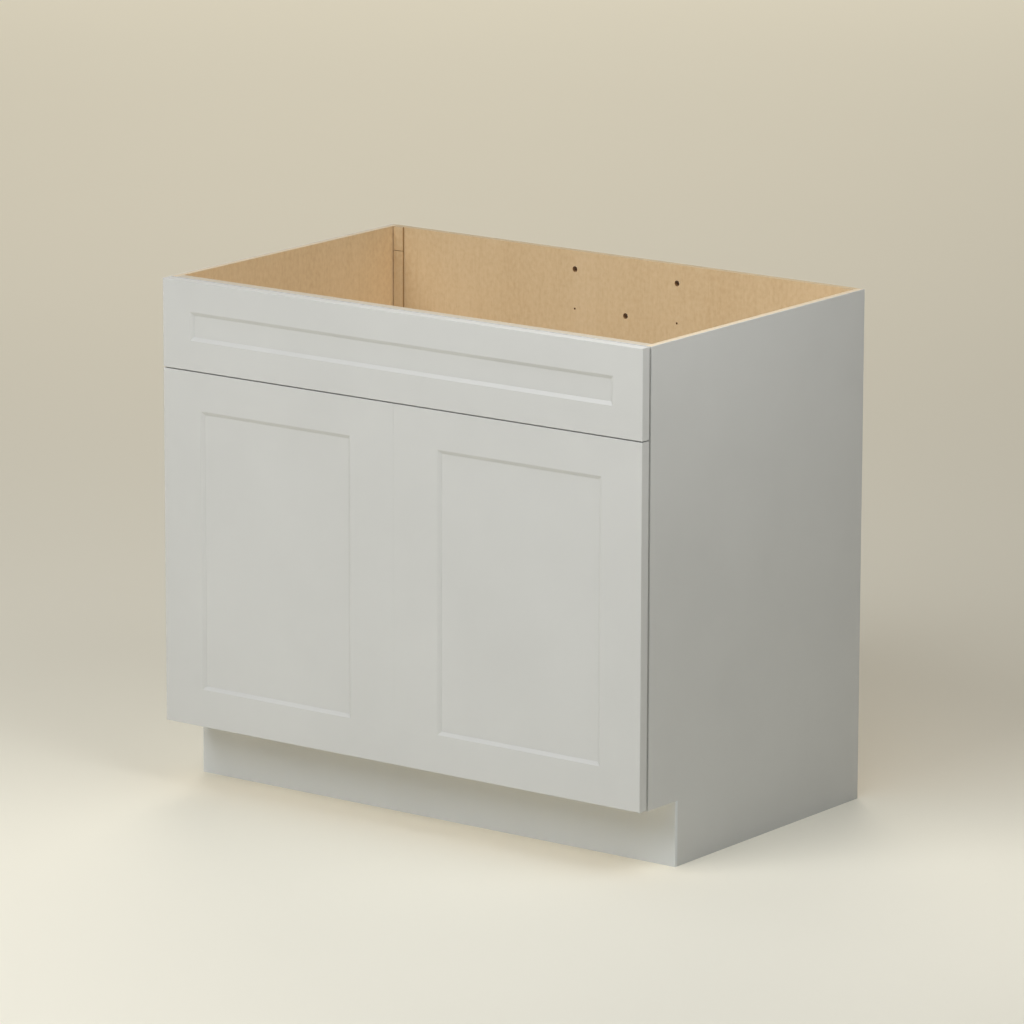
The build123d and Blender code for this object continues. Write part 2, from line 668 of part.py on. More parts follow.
def hinge_stile_holes():
    """Bores for the cups and pilot holes for their screws."""
    back = PIN_BACK_DISTANCE
    floor = back - CUP_DEPTH
    bore = rod(CUP_RADIUS, (CUP_CENTRE, floor, 0), (CUP_CENTRE, back + NEAR, 0))
    holes = at_hinges(bore)
    radius = WOOD_SCREW_RADIUS + SCREW_CLEARANCE
    for x, y, z in cup_screw_starts():
        pilot = rod(radius, (x, y, z), (x, y - CUP_SCREW_LENGTH - SCREW_CLEARANCE, z))
        holes = holes + at_hinges(pilot)
    return holes


def door_pieces(width):
    """Frame, panel and bumpers of a door that is hinged at the cabinet's left end."""
    stiles = (HINGE_STILE_WIDTH, MEETING_STILE_WIDTH)
    place = (-FRONTS_HALF, DOOR_Z, width, DOOR_HEIGHT)
    pieces = framed_front(*place, stiles, DOOR_RAIL_WIDTH, MEETING_SLANT)
    x = -FRONTS_HALF + width - BUMPER_INSET
    bumpers = []
    for z in (TOE_HEIGHT + BOTTOM_THICKNESS / 2, (MIDDLE_RAIL_Z + DOOR_TOP_Z) / 2):
        dome = rod(BUMPER_RADIUS, (x, FRONT_BACK_Y, z), (x, BOX_FRONT_Y - BUMPER_CLEARANCE, z))
        rim = edges_at(dome, [(Axis.Y, BOX_FRONT_Y - BUMPER_CLEARANCE)])
        bumpers.append(fillet(rim, BUMPER_ROUND))
    return {
        "hinge_stile": [cut(pieces[0], hinge_stile_holes())],
        "meeting_stile": [pieces[1]],
        "rail_top": [pieces[2]],
        "rail_bottom": [pieces[3]],
        "panel": [pieces[4]],
        "bumpers": bumpers,
    }


def all_pieces():
    """Every node's name with its solids."""
    pieces = box_pieces()
    pieces.update(false_front_pieces())
    on_door, on_side = hinge_pieces()
    hardware = {**on_door, **on_side}
    for name, solids in hardware.items():
        pieces[name + "_left"] = solids
        pieces[name + "_right"] = mirrored(solids)
    for name, solids in door_pieces(LEFT_DOOR_WIDTH).items():
        pieces["door_left_" + name] = solids
    for name, solids in door_pieces(RIGHT_DOOR_WIDTH).items():
        pieces["door_right_" + name] = mirrored(solids)
    return pieces


os.makedirs("parts", exist_ok=True)
for name, solids in all_pieces().items():
    export_step(Compound(children=solids), "parts/" + name + ".step")
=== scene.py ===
import logging
import math
from dataclasses import dataclass
from enum import Enum
from functools import reduce

import bmesh
import bpy
from mathutils import Matrix, Vector


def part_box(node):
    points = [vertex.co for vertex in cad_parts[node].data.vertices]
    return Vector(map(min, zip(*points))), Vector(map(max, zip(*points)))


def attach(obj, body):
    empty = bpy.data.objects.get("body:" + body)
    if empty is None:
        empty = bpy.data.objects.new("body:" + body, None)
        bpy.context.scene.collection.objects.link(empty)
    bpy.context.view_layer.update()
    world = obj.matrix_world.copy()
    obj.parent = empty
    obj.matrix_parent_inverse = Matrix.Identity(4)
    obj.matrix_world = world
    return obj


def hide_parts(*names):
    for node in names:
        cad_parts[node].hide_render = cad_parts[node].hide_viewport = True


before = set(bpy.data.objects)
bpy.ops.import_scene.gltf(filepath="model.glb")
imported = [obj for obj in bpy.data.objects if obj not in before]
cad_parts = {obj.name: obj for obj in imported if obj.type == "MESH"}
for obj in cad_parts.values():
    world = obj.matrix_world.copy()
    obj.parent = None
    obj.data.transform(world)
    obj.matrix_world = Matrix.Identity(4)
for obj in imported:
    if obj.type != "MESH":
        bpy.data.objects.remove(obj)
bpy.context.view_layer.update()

# The looks of a painted sink base cabinet: satin grey fronts and sides, a maple plywood box and
# nickel hinges. Metres, in the cabinet's own frame: +X to the right, +Y to the wall, +Z up.

LOG = logging.getLogger("sink_base")
SIDES = ("left", "right")
MM = 0.001

# Noise seldom leaves this range, so what is spread over it uses its whole reach.
NOISE_LOW = 0.3
NOISE_HIGH = 0.7

# How much a coated surface mirrors.
COATED = 0.4

Socket = bpy.types.NodeSocket
Colour = tuple[float, float, float]


def srgb(red: int, green: int, blue: int) -> Colour:
    """Turn a colour as seen on a screen into the linear one that a shader takes.

    Args:
        red: Red, from 0 to 255.
        green: Green, from 0 to 255.
        blue: Blue, from 0 to 255.

    Returns:
        The linear red, green and blue.
    """
    shares = [channel / 255 for channel in (red, green, blue)]
    return tuple(c / 12.92 if c <= 0.04045 else ((c + 0.055) / 1.055) ** 2.4 for c in shares)


def dimmed(colour: Colour, share: float) -> Colour:
    """Give a linear colour with a share of its light, held at white."""
    return tuple(min(1.0, channel * share) for channel in colour)


class Axis(Enum):
    """An axis of the cabinet's frame, as its index in a vector."""

    X = 0
    Y = 1
    Z = 2


class Graph:
    """A material's node tree, built one node at a time.

    The Mix node has sockets for every kind of data, so its colour ones go by their index.
    """

    mix_colours: tuple[int, int] = (6, 7)
    mix_result: int = 2

    def __init__(self, name: str) -> None:
        """Start an empty material with a shader and an output.

        Args:
            name: The material's name.
        """
        self.material = bpy.data.materials.new(name)
        self.material.use_nodes = True
        self.tree = self.material.node_tree
        self.tree.nodes.clear()
        self.shader = self.tree.nodes.new("ShaderNodeBsdfPrincipled")
        output = self.tree.nodes.new("ShaderNodeOutputMaterial")
        self.link(self.shader.outputs["BSDF"], output.inputs["Surface"])
        place = self.tree.nodes.new("ShaderNodeTexCoord")
        self.point = place.outputs["Object"]
        self.normal = place.outputs["Normal"]

    def link(self, source: Socket, target: Socket) -> None:
        """Join an output to an input."""
        self.tree.links.new(source, target)

    def set(self, socket: Socket, value: object) -> None:
        """Give an input a value, or join it to an output.

        Args:
            socket: The input.
            value: A number, a colour, a vector or an output socket.
        """
        if isinstance(value, Socket):
            self.link(value, socket)
        elif socket.type == "RGBA" and len(value) == 3:
            socket.default_value = (*value, 1.0)
        else:
            socket.default_value = value

    def math(self, operation: str, *values: object) -> Socket:
        """Add a sum on one or two numbers.

        Args:
            operation: The Math node's operation.
            values: Numbers or output sockets.

        Returns:
            The result's output.
        """
        node = self.tree.nodes.new("ShaderNodeMath")
        node.operation = operation
        for socket, value in zip(node.inputs, values):
            self.set(socket, value)
        return node.outputs[0]

    def part(self, vector: Socket, axis: Axis) -> Socket:
        """Take one coordinate out of a vector.

        Args:
            vector: The vector's output.
            axis: Which coordinate.

        Returns:
            The coordinate's output.
        """
        node = self.tree.nodes.new("ShaderNodeSeparateXYZ")
        self.link(vector, node.inputs[0])
        return node.outputs[axis.value]

    def scaled(self, scale: Vector) -> Socket:
        """Stretch the object's coordinates.

        Args:
            scale: How many times each coordinate counts.

        Returns:
            The stretched point's output.
        """
        node = self.tree.nodes.new("ShaderNodeMapping")
        node.inputs["Scale"].default_value = scale
        self.link(self.point, node.inputs["Vector"])
        return node.outputs[0]

    def noise(
        self, vector: Socket, scale: float, detail: float = 2.0, warp: float = 0.0
    ) -> Socket:
        """Add cloudy noise.

        Args:
            vector: Where it is read.
            scale: Its size, in cells for each unit of the vector.
            detail: How many finer layers it has.
            warp: How far its shapes are bent.

        Returns:
            A number around 0.5 at each point.
        """
        node = self.tree.nodes.new("ShaderNodeTexNoise")
        node.inputs["Scale"].default_value = scale
        node.inputs["Detail"].default_value = detail
        node.inputs["Distortion"].default_value = warp
        self.link(vector, node.inputs["Vector"])
        return node.outputs["Fac"]

    def spread(
        self, value: Socket, low: float, high: float, new_low: float, new_high: float
    ) -> Socket:
        """Map a number from one range to another, held at its ends.

        Args:
            value: The number's output.
            low: Where the old range starts.
            high: Where it ends.
            new_low: What its start becomes.
            new_high: What its end becomes.

        Returns:
            The mapped number's output.
        """
        node = self.tree.nodes.new("ShaderNodeMapRange")
        self.link(value, node.inputs["Value"])
        limits = (low, high, new_low, new_high)
        for name, limit in zip(("From Min", "From Max", "To Min", "To Max"), limits):
            node.inputs[name].default_value = limit
        return node.outputs[0]

    def between(self, noise: Socket, low: float, high: float) -> Socket:
        """Turn noise into a number between two."""
        return self.spread(noise, NOISE_LOW, NOISE_HIGH, low, high)

    def ramp(self, value: Socket, stops: list[tuple[float, Colour]]) -> Socket:
        """Turn a number into a colour.

        Args:
            value: The number's output.
            stops: Places from 0 to 1, each with its colour.

        Returns:
            The colour's output.
        """
        node = self.tree.nodes.new("ShaderNodeValToRGB")
        elements = node.color_ramp.elements
        while len(elements) < len(stops):
            elements.new(1.0)
        for element, (place, colour) in zip(elements, stops):
            element.position = place
            element.color = (*colour, 1.0)
        self.link(value, node.inputs[0])
        return node.outputs[0]

    def tinted(self, noise: Socket, dark: Colour, light: Colour) -> Socket:
        """Turn noise into a colour between two."""
        return self.ramp(noise, [(NOISE_LOW, dark), (NOISE_HIGH, light)])

    def mix(self, share: object, first: object, second: object) -> Socket:
        """Mix two colours.

        Args:
            share: How much of the second one counts.
            first: A colour or its output.
            second: A colour or its output.

        Returns:
            The mixed colour's output.
        """
        node = self.tree.nodes.new("ShaderNodeMix")
        node.data_type = "RGBA"
        self.set(node.inputs["Factor"], share)
        for index, colour in zip(self.mix_colours, (first, second)):
            self.set(node.inputs[index], colour)
        return node.outputs[self.mix_result]

    def bump(self, height: Socket, depth: float, strength: float) -> None:
        """Roughen the shader's surface by a height.

        Args:
            height: A number from 0 to 1 at each point.
            depth: How deep a step of 1 is, in metres.
            strength: How much of it counts.
        """
        node = self.tree.nodes.new("ShaderNodeBump")
        node.inputs["Strength"].default_value = strength
        node.inputs["Distance"].default_value = depth
        self.link(height, node.inputs["Height"])
        self.link(node.outputs[0], self.shader.inputs["Normal"])

    def finish(self, **values: object) -> bpy.types.Material:
        """Set the shader's inputs, whose names are written with underscores.

        Args:
            values: A value or an output for each input.

        Returns:
            The finished material.
        """
        for name, value in values.items():
            self.set(self.shader.inputs[name.replace("_", " ")], value)
        return self.material


# Finishes


@dataclass(frozen=True)
class SatinPaint:
    """Sprayed satin paint: almost even, with a faint orange peel."""

    colour: Colour = srgb(206, 207, 205)
    unevenness: float = 0.02
    cloud_scale: float = 5.0
    peel_scale: float = 900.0
    peel_depth: float = 0.03 * MM
    peel_strength: float = 0.5
    sheen_scale: float = 14.0
    roughness: tuple[float, float] = (0.40, 0.50)

    def tone(self, graph: Graph) -> Socket:
        """Give the paint's colour, a little lighter and darker in soft clouds.

        Args:
            graph: The material's tree.

        Returns:
            The colour's output.
        """
        cloud = graph.noise(graph.point, self.cloud_scale, 3.0)
        dark = dimmed(self.colour, 1 - self.unevenness)
        light = dimmed(self.colour, 1 + self.unevenness)
        return graph.tinted(cloud, dark, light)

    def peel(self, graph: Graph) -> Socket:
        """Give the height of the paint's orange peel."""
        return graph.noise(graph.point, self.peel_scale, 2.0)

    def sheen(self, graph: Graph) -> Socket:
        """Give the paint's roughness, which varies in wide soft patches."""
        return graph.between(graph.noise(graph.point, self.sheen_scale, 4.0), *self.roughness)

    def build(self, name: str) -> bpy.types.Material:
        """Make the material.

        Args:
            name: The material's name.

        Returns:
            The material.
        """
        graph = Graph(name)
        graph.bump(self.peel(graph), self.peel_depth, self.peel_strength)
        return graph.finish(
            Base_Color=self.tone(graph), Roughness=self.sheen(graph), Specular_IOR_Level=COATED
        )


@dataclass(frozen=True)
class Layer:
    """A layer of noise in a veneer: its cells for each metre, and how much it counts."""

    along: float
    across: float
    weight: float
    detail: float = 3.0
    warp: float = 0.0


class Figure(Enum):
    """The layers that make a maple veneer's tone."""

    CLOUD = Layer(1.6, 6.0, 0.28, warp=0.4)
    BAND = Layer(2.2, 45.0, 0.10, warp=0.8)
    STREAK = Layer(7.0, 210.0, 0.08, warp=0.5)
    FIBRE = Layer(22.0, 900.0, 0.20)
    MOTTLE = Layer(105.0, 135.0, 0.34, detail=2.0)


@dataclass(frozen=True)
class MapleBoard:
    """Plywood faced with clear-coated maple, with its plies on the edges."""

    grain: Axis
    thickness: Axis
    # The face veneer's colours are multiplied by this share: above 1 it is painted light, below
    # 1 painted shade.
    painted_light_share: float = 1.0
    ply: float = 1.6 * MM
    light: Colour = srgb(238, 212, 172)
    middle: Colour = srgb(231, 204, 161)
    dark: Colour = srgb(221, 191, 147)
    fleck: Colour = srgb(196, 162, 116)
    edge_light: Colour = srgb(224, 209, 182)
    edge_dark: Colour = srgb(204, 180, 143)
    tones: tuple[float, float, float] = (0.36, 0.50, 0.64)
    dashes: Layer = Layer(110.0, 620.0, 0.28, detail=2.0)
    dash_range: tuple[float, float] = (0.60, 0.76)
    ply_range: tuple[float, float] = (0.35, 0.65)
    ply_wear: tuple[float, float] = (0.35, 1.0)
    ply_wear_scale: float = 260.0
    flat_from: float = 0.7
    fibre_depth: float = 0.05 * MM
    fibre_strength: float = 0.35
    roughness: tuple[float, float] = (0.36, 0.48)

    def stretch(self, along: float, across: float) -> Vector:
        """Give a scale with one number along the grain and another across it.

        Args:
            along: Cells for each metre along the grain.
            across: Cells for each metre across it.

        Returns:
            The scale on each axis.
        """
        scale = Vector((across, across, across))
        scale[self.grain.value] = along
        return scale

    def draw(self, graph: Graph, layer: Layer) -> Socket:
        """Draw a layer of noise, stretched along the grain."""
        point = graph.scaled(self.stretch(layer.along, layer.across))
        return graph.noise(point, 1.0, layer.detail, layer.warp)

    def veneer(self, graph: Graph) -> tuple[Socket, Socket]:
        """Draw the face veneer.

        Args:
            graph: The material's tree.

        Returns:
            The colour and the height of the fibres.
        """
        drawn = {figure: self.draw(graph, figure.value) for figure in Figure}
        parts = [graph.math("MULTIPLY", drawn[figure], figure.value.weight) for figure in Figure]
        tone = reduce(lambda total, part: graph.math("ADD", total, part), parts)
        colours = [dimmed(colour, self.painted_light_share) for colour in (self.dark, self.middle, self.light)]
        colour = graph.ramp(tone, list(zip(self.tones, colours)))
        marks = graph.spread(
            self.draw(graph, self.dashes), *self.dash_range, 0.0, self.dashes.weight
        )
        return graph.mix(marks, colour, dimmed(self.fleck, self.painted_light_share)), drawn[Figure.FIBRE]

    def plies(self, graph: Graph) -> Socket:
        """Draw the layers of the core, as they show on an edge.

        Args:
            graph: The material's tree.

        Returns:
            The colour's output.
        """
        depth = graph.part(graph.point, self.thickness)
        layer = graph.math("PINGPONG", depth, self.ply)
        low, high = (self.ply * share for share in self.ply_range)
        wear_scale = self.ply_wear_scale
        rough = graph.noise(graph.scaled(self.stretch(wear_scale, wear_scale)), 1.0, 3.0)
        share = graph.spread(layer, low, high, 0.0, 1.0)
        share = graph.math("MULTIPLY", share, graph.between(rough, *self.ply_wear))
        return graph.mix(share, self.edge_light, self.edge_dark)

    def facing(self, graph: Graph) -> Socket:
        """Give how far a point faces along the board's thickness, from -1 to 1."""
        return graph.part(graph.normal, self.thickness)

    def wood(self, graph: Graph) -> tuple[Socket, Socket]:
        """Draw faces and edges together.

        Args:
            graph: The material's tree.

        Returns:
            The colour and the height of the fibres.
        """
        colour, fibre = self.veneer(graph)
        squareness = graph.math("ABSOLUTE", self.facing(graph))
        on_face = graph.math("GREATER_THAN", squareness, self.flat_from)
        return graph.mix(on_face, self.plies(graph), colour), fibre

    def build(self, name: str) -> bpy.types.Material:
        """Make the material.

        Args:
            name: The material's name.

        Returns:
            The material.
        """
        graph = Graph(name)
        colour, fibre = self.wood(graph)
        graph.bump(fibre, self.fibre_depth, self.fibre_strength)
        gloss = graph.between(fibre, *self.roughness)
        return graph.finish(Base_Color=colour, Roughness=gloss, Specular_IOR_Level=COATED)


@dataclass(frozen=True)
class DrilledBoard(MapleBoard):
    """A maple board with holes, with painted shade on their drilled walls."""

    node: str = "back_panel"
    # A dark colour for the holes' walls: painted shade.
    painted_bore_shade: Colour = srgb(158, 122, 82)
    margin: float = 6.0 * MM

    def inside(self, graph: Graph, axis: Axis) -> Socket:
        """Tell whether a point is further than the margin from the board's ends.

        Args:
            graph: The material's tree.
            axis: The axis that the distance is taken along.

        Returns:
            1 where it is, and 0 elsewhere.
        """
        low, high = (corner[axis.value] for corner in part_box(self.node))
        middle, half = (low + high) / 2, (high - low) / 2 - self.margin
        offset = graph.math("SUBTRACT", graph.part(graph.point, axis), middle)
        return graph.math("LESS_THAN", graph.math("ABSOLUTE", offset), half)

    def plies(self, graph: Graph) -> Socket:
        """Draw the edges' layers, and paint shade on the walls of the holes.

        Args:
            graph: The material's tree.

        Returns:
            The colour's output.
        """
        across, along = (axis for axis in Axis if axis is not self.thickness)
        bored = graph.math("MULTIPLY", self.inside(graph, across), self.inside(graph, along))
        return graph.mix(bored, super().plies(graph), self.painted_bore_shade)


@dataclass(frozen=True)
class PaintedBoard:
    """A maple board with its outer face and front edge painted, and spray on the edges there."""

    wood: MapleBoard
    outward: float
    node: str
    paint: SatinPaint = SatinPaint()
    spray: float = 4.0 * MM
    spray_scale: float = 300.0
    spray_fade: tuple[float, float] = (0.5, 1.5)
    outer_from: float = 0.35
    front_from: float = 0.5
    inner_from: float = 0.7
    relief: float = 0.04 * MM
    relief_strength: float = 0.4

    def sprayed(self, graph: Graph) -> Socket:
        """Draw the spray that an edge has caught beside the painted face.

        Args:
            graph: The material's tree.

        Returns:
            How much there is, from 1 at the painted face to 0.
        """
        low, high = (corner[self.wood.thickness.value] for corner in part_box(self.node))
        face = high if self.outward > 0 else low
        depth = graph.math("SUBTRACT", graph.part(graph.point, self.wood.thickness), face)
        noise = graph.noise(graph.point, self.spray_scale, 3.0)
        ragged = graph.math("MULTIPLY", noise, self.spray)
        distance = graph.math("ADD", graph.math("ABSOLUTE", depth), ragged)
        full, none = (self.spray * share for share in self.spray_fade)
        return graph.spread(distance, full, none, 1.0, 0.0)

    def painted(self, graph: Graph) -> Socket:
        """Draw where the paint is.

        Args:
            graph: The material's tree.

        Returns:
            How much paint a point has, from 0 to 1.
        """
        facing = graph.math("MULTIPLY", self.wood.facing(graph), self.outward)
        outer = graph.math("GREATER_THAN", facing, self.outer_from)
        front = graph.math("LESS_THAN", graph.part(graph.normal, Axis.Y), -self.front_from)
        on_edge = graph.math("GREATER_THAN", facing, -self.inner_from)
        sprayed = graph.math("MULTIPLY", on_edge, self.sprayed(graph))
        return graph.math("MAXIMUM", graph.math("MAXIMUM", outer, front), sprayed)

    def build(self, name: str) -> bpy.types.Material:
        """Make the material.

        Args:
            name: The material's name.

        Returns:
            The material.
        """
        graph = Graph(name)
        colour, fibre = self.wood.wood(graph)
        painted = self.painted(graph)
        colour = graph.mix(painted, colour, self.paint.tone(graph))
        height = graph.mix(painted, fibre, self.paint.peel(graph))
        graph.bump(height, self.relief, self.relief_strength)
        return graph.finish(
            Base_Color=colour, Roughness=self.paint.sheen(graph), Specular_IOR_Level=COATED
        )


@dataclass(frozen=True)
class Metal:
    """Plated steel, a little uneven in its gloss."""

    colour: Colour
    roughness: tuple[float, float]
    brush: Vector = Vector((400.0, 400.0, 60.0))
    brush_depth: float = 0.02 * MM
    brush_strength: float = 0.3
    cloud_scale: float = 60.0
    dullness: float = 0.86

    def build(self, name: str) -> bpy.types.Material:
        """Make the material.

        Args:
            name: The material's name.

        Returns:
            The material.
        """
        graph = Graph(name)
        streak = graph.noise(graph.scaled(self.brush), 1.0, 3.0)
        cloud = graph.noise(graph.point, self.cloud_scale, 3.0)
        colour = graph.tinted(cloud, dimmed(self.colour, self.dullness), self.colour)
        graph.bump(streak, self.brush_depth, self.brush_strength)
        return graph.finish(
            Base_Color=colour, Roughness=graph.between(streak, *self.roughness), Metallic=1.0
        )


@dataclass(frozen=True)
class Moulded:
    """Moulded nylon or soft vinyl, with a fine grain."""

    colour: Colour
    roughness: tuple[float, float]
    transmission: float = 0.0
    grain_scale: float = 1200.0
    grain_depth: float = 0.02 * MM
    grain_strength: float = 0.4
    cloud_scale: float = 90.0
    dullness: float = 0.92

    def build(self, name: str) -> bpy.types.Material:
        """Make the material.

        Args:
            name: The material's name.

        Returns:
            The material.
        """
        graph = Graph(name)
        grain = graph.noise(graph.point, self.grain_scale, 2.0)
        cloud = graph.noise(graph.point, self.cloud_scale, 3.0)
        graph.bump(grain, self.grain_depth, self.grain_strength)
        return graph.finish(
            Base_Color=graph.tinted(cloud, dimmed(self.colour, self.dullness), self.colour),
            Roughness=graph.between(grain, *self.roughness),
            Transmission_Weight=self.transmission,
        )


# Pieces


def wear(node: str, material: bpy.types.Material) -> bpy.types.Object:
    """Give a CAD node its finish.

    Args:
        node: The node's name.
        material: The finish.

    Returns:
        The node's object.
    """
    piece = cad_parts[node]
    piece.data.materials.clear()
    piece.data.materials.append(material)
    LOG.info("%s wears %s", node, material.name)
    return piece


@dataclass
class EasedBoard:
    """A board like its CAD node, with its sharp edges taken off."""

    node: str
    slot: str
    ease: float = 0.4 * MM
    segments: int = 2
    sharp: float = math.radians(60)
    flat: float = math.radians(0.5)
    merge: float = 0.001 * MM

    def mesh(self) -> bpy.types.Mesh:
        """Copy the node's mesh, merge its loose triangles and bevel its edges.

        Returns:
            The finished mesh.
        """
        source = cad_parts[self.node].data
        bm = bmesh.new()
        bm.from_mesh(source)
        bmesh.ops.remove_doubles(bm, verts=bm.verts, dist=self.merge)
        bmesh.ops.dissolve_limit(bm, angle_limit=self.flat, verts=bm.verts, edges=bm.edges)
        whole = [edge for edge in bm.edges if edge.is_manifold]
        edges = [edge for edge in whole if edge.calc_face_angle() > self.sharp]
        bmesh.ops.bevel(
            bm, geom=edges, offset=self.ease, offset_type="OFFSET", segments=self.segments,
            profile=0.5, affect="EDGES", clamp_overlap=True, material=-1,
        )
        bmesh.ops.recalc_face_normals(bm, faces=bm.faces)
        for face in bm.faces:
            face.smooth = True
        mesh = bpy.data.meshes.new(self.node + "_eased")
        bm.to_mesh(mesh)
        bm.free()
        return mesh

    def make(self, body: str, material: bpy.types.Material) -> bpy.types.Object:
        """Build the board, dress it and put it in its node's place.

        Args:
            body: The body that it rides on.
            material: Its finish.

        Returns:
            The board's object.
        """
        piece = bpy.data.objects.new(self.node + "_board", self.mesh())
        bpy.context.scene.collection.objects.link(piece)
        piece.data.materials.append(material)
        weighted = piece.modifiers.new("flat_faces", "WEIGHTED_NORMAL")
        weighted.keep_sharp = True
        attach(piece, body)
        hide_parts(self.node)
        LOG.info("%s has %d faces", piece.name, len(piece.data.polygons))
        return piece


@dataclass
class PlywoodBox:
    """The box: sides, bottom, back, rails, battens and what joins them."""

    body: str = "carcass"
    # The left side's veneer is drawn lighter: painted light on its inner face.
    left: MapleBoard = MapleBoard(grain=Axis.Z, thickness=Axis.X, painted_light_share=1.13)
    right: MapleBoard = MapleBoard(grain=Axis.Z, thickness=Axis.X)
    # The back's veneer is drawn darker as painted shade deep in the box, and its edge colours
    # are darkened as painted shade on its top edge.
    back: MapleBoard = DrilledBoard(
        Axis.Z, Axis.Y, 0.87, edge_light=srgb(204, 180, 138), edge_dark=srgb(186, 160, 114)
    )
    # The battens' veneer is drawn darker, and their edge colours much darker: painted shade
    # along and beside the battens.
    strip: MapleBoard = MapleBoard(
        Axis.Z, Axis.Y, 0.84, edge_light=srgb(176, 146, 104), edge_dark=srgb(152, 120, 80)
    )
    # The rails' edge colours are darkened: painted shade on their upward-facing edges.
    rail: MapleBoard = MapleBoard(
        Axis.X, Axis.Y, edge_light=srgb(202, 194, 177), edge_dark=srgb(188, 171, 144)
    )
    bottom: MapleBoard = MapleBoard(grain=Axis.X, thickness=Axis.Z)
    dowel: MapleBoard = MapleBoard(
        Axis.X, Axis.X, light=srgb(214, 184, 143), middle=srgb(200, 166, 122)
    )
    zinc: Metal = Metal(srgb(196, 196, 190), (0.28, 0.45))
    nylon: Moulded = Moulded(srgb(226, 223, 212), (0.35, 0.5))

    def board(self, node: str, slot: str, finish: bpy.types.Material) -> None:
        """Put an eased board in a node's place.

        Args:
            node: The node's name.
            slot: The record's slot for it; not used.
            finish: Its finish.
        """
        EasedBoard(node, slot).make(self.body, finish)

    def build(self) -> None:
        """Dress every piece of the box."""
        for wood, side, outward in zip((self.left, self.right), SIDES, (-1.0, 1.0)):
            node = "side_panel_" + side
            finish = PaintedBoard(wood, outward, node).build("side_" + side)
            self.board(node, "painted_plywood", finish)
        self.board("back_panel", "maple_plywood", self.back.build("maple_back"))
        for node in ("front_top_rail", "front_middle_rail"):
            self.board(node, "maple_plywood", PaintedBoard(self.rail, -1.0, node).build(node))
        self.board("bottom_panel", "maple_plywood", self.bottom.build("maple_bottom"))
        rail = self.rail.build("maple_base")
        for node in ("toe_kick_board", "rear_base_rail"):
            self.board(node, "base_plywood", rail)
        self.board("base_stringer", "base_plywood", self.right.build("maple_stringer"))
        strip = self.strip.build("maple_strip")
        for side in SIDES:
            self.board("rear_batten_" + side, "maple_plywood", strip)
            self.board("rear_corner_block_" + side, "maple_plywood", strip)
        self.build_fixings()

    def build_fixings(self) -> None:
        """Dress the dowels and screws."""
        dowel = self.dowel.build("beech")
        for joint in ("bottom_panel", "back_panel", "front_rail", "base"):
            wear(joint + "_dowels", dowel)
        zinc = self.zinc.build("zinc")
        wear("back_panel_screws", zinc)
        wear("false_front_screws", zinc)
        wear("false_front_spacers", self.nylon.build("nylon"))


@dataclass
class PaintedFronts:
    """The false front, the two doors and the toe space's skin."""

    paint: SatinPaint = SatinPaint()
    # The toe skin's paint is a lighter, cooler copy of the front paint: painted light in the
    # shade under the doors, against the warm light bounced off the floor.
    toe_paint_with_painted_light: SatinPaint = SatinPaint(colour=srgb(219, 223, 224))
    vinyl: Moulded = Moulded(srgb(214, 216, 212), (0.18, 0.3), transmission=0.5)

    def build(self) -> None:
        """Dress every painted piece and the doors' bumpers."""
        finish = self.paint.build("satin_paint")
        for part in ("stile_left", "stile_right", "rail_top", "rail_bottom", "panel"):
            wear("false_front_" + part, finish)
        wear("toe_kick_skin", self.toe_paint_with_painted_light.build("toe_paint_with_painted_light"))
        bumper = self.vinyl.build("bumper")
        for side in SIDES:
            for part in ("hinge_stile", "meeting_stile", "rail_top", "rail_bottom", "panel"):
                wear(f"door_{side}_{part}", finish)
            wear(f"door_{side}_bumpers", bumper)


@dataclass
class Hinges:
    """The four concealed hinges."""

    plate: Metal = Metal(srgb(206, 203, 196), (0.18, 0.34))
    screw: Metal = Metal(srgb(190, 188, 182), (0.22, 0.38))

    def build(self) -> None:
        """Dress the hinges' pieces."""
        plate = self.plate.build("nickel")
        screw = self.screw.build("nickel_screw")
        for side in SIDES:
            for part in ("cups", "arms", "plates", "springs"):
                wear(f"hinge_{part}_{side}", plate)
            for part in ("pins", "adjusters", "cup_screws", "plate_screws"):
                wear(f"hinge_{part}_{side}", screw)


# Camera, floor and light


@dataclass(frozen=True)
class PhotoCamera:
    """The camera, where the photograph was taken from."""

    place: Vector = Vector((6.5327, -8.7819, 2.9766))
    turn: float = 0.6395
    tilt: float = 0.2238
    roll: float = 0.0026
    focal_pixels: float = 6678.6
    image_pixels: float = 1024.0
    sensor: float = 36.0

    def build(self) -> None:
        """Make the camera and look through it."""
        data = bpy.data.cameras.new("photo_camera")
        data.sensor_width = self.sensor
        data.lens = self.focal_pixels / self.image_pixels * self.sensor
        camera = bpy.data.objects.new("photo_camera", data)
        upright = Matrix.Rotation(math.pi / 2 - self.tilt, 4, "X")
        aim = Matrix.Rotation(self.turn, 4, "Z") @ upright @ Matrix.Rotation(self.roll, 4, "Z")
        camera.matrix_world = Matrix.Translation(self.place) @ aim
        bpy.context.scene.collection.objects.link(camera)
        bpy.context.scene.camera = camera


@dataclass(frozen=True)
class Lamp:
    """A round soft lamp."""

    name: str
    place: Vector
    target: Vector
    size: float
    power: float
    colour: Colour = (1.0, 1.0, 1.0)

    def hang(self) -> None:
        """Hang the lamp and aim it."""
        data = bpy.data.lights.new(self.name, "AREA")
        data.shape = "DISK"
        data.size = self.size
        data.energy = self.power
        data.color = self.colour
        lamp = bpy.data.objects.new(self.name, data)
        lamp.location = self.place
        lamp.rotation_mode = "QUATERNION"
        lamp.rotation_quaternion = (self.target - self.place).to_track_quat("-Z", "Y")
        bpy.context.scene.collection.objects.link(lamp)


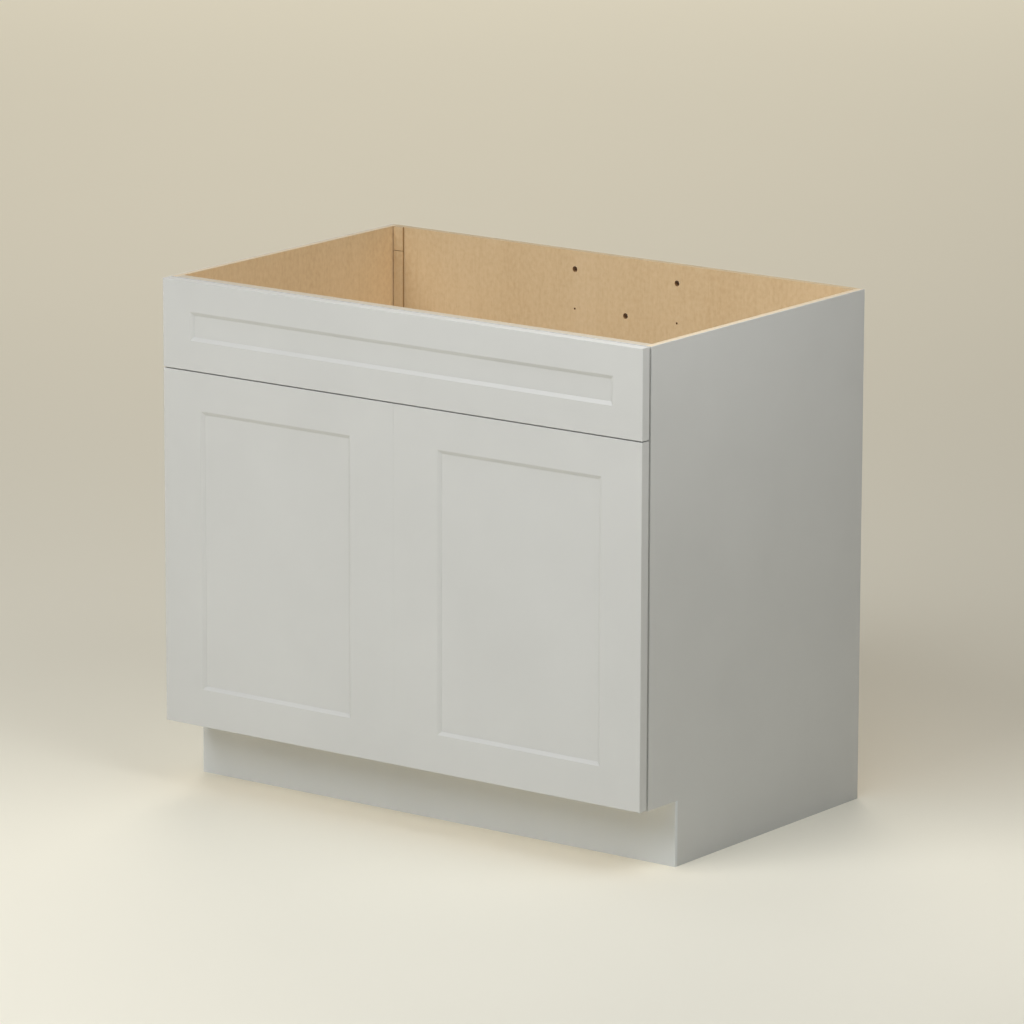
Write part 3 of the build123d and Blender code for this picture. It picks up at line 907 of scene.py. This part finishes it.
@dataclass(frozen=True)
class Studio:
    """A plain pale floor under soft light."""

    floor_radius: float = 60.0
    floor_sides: int = 96
    floor_colour: Colour = srgb(247, 244, 230)
    floor_cloud_scale: float = 0.6
    floor_evenness: float = 0.99
    floor_roughness: float = 0.75
    floor_mirror: float = 0.2
    sky_strength: float = 0.12
    lamps: tuple[Lamp, ...] = (
        Lamp("front", Vector((-0.6, -3.4, 3.1)), Vector((0.0, 0.0, 0.45)), 3.0, 112.0),
        Lamp("right", Vector((1.2, -0.4, 1.85)), Vector((0.0, 0.0, 0.45)), 1.5, 15.0),
        Lamp(
            "behind", Vector((-3.4, 3.4, 4.5)), Vector((-3.4, 3.4, 0.0)), 4.0, 52.0,
            (1.0, 0.91, 0.78),
        ),
        Lamp(
            "far", Vector((-8.3, 11.3, 9.0)), Vector((-8.3, 11.3, 0.0)), 9.0, 800.0,
            (1.0, 0.93, 0.80),
        ),
    )

    def build(self) -> None:
        """Lay the floor, light it and set how the picture is developed."""
        self.lay_floor()
        world = bpy.data.worlds.new("studio")
        world.use_nodes = True
        sky = world.node_tree.nodes["Background"]
        sky.inputs["Color"].default_value = (1.0, 1.0, 1.0, 1.0)
        sky.inputs["Strength"].default_value = self.sky_strength
        bpy.context.scene.world = world
        for lamp in self.lamps:
            lamp.hang()
        settings = bpy.context.scene.view_settings
        settings.view_transform = "Standard"
        settings.look = "None"

    def lay_floor(self) -> None:
        """Lay a round floor."""
        bm = bmesh.new()
        bmesh.ops.create_circle(
            bm, cap_ends=True, segments=self.floor_sides, radius=self.floor_radius
        )
        mesh = bpy.data.meshes.new("floor")
        bm.to_mesh(mesh)
        bm.free()
        graph = Graph("pale_floor")
        cloud = graph.noise(graph.point, self.floor_cloud_scale, 2.0)
        dull = dimmed(self.floor_colour, self.floor_evenness)
        finish = graph.finish(
            Base_Color=graph.tinted(cloud, dull, self.floor_colour),
            Roughness=self.floor_roughness, Specular_IOR_Level=self.floor_mirror,
        )
        mesh.materials.append(finish)
        floor = bpy.data.objects.new("floor", mesh)
        bpy.context.scene.collection.objects.link(floor)


def main() -> None:
    """Dress the cabinet and set the scene."""
    logging.basicConfig(level=logging.INFO, format="%(name)s: %(message)s")
    PhotoCamera().build()
    Studio().build()
    PlywoodBox().build()
    PaintedFronts().build()
    Hinges().build()


if __name__ == "__main__":
    main()
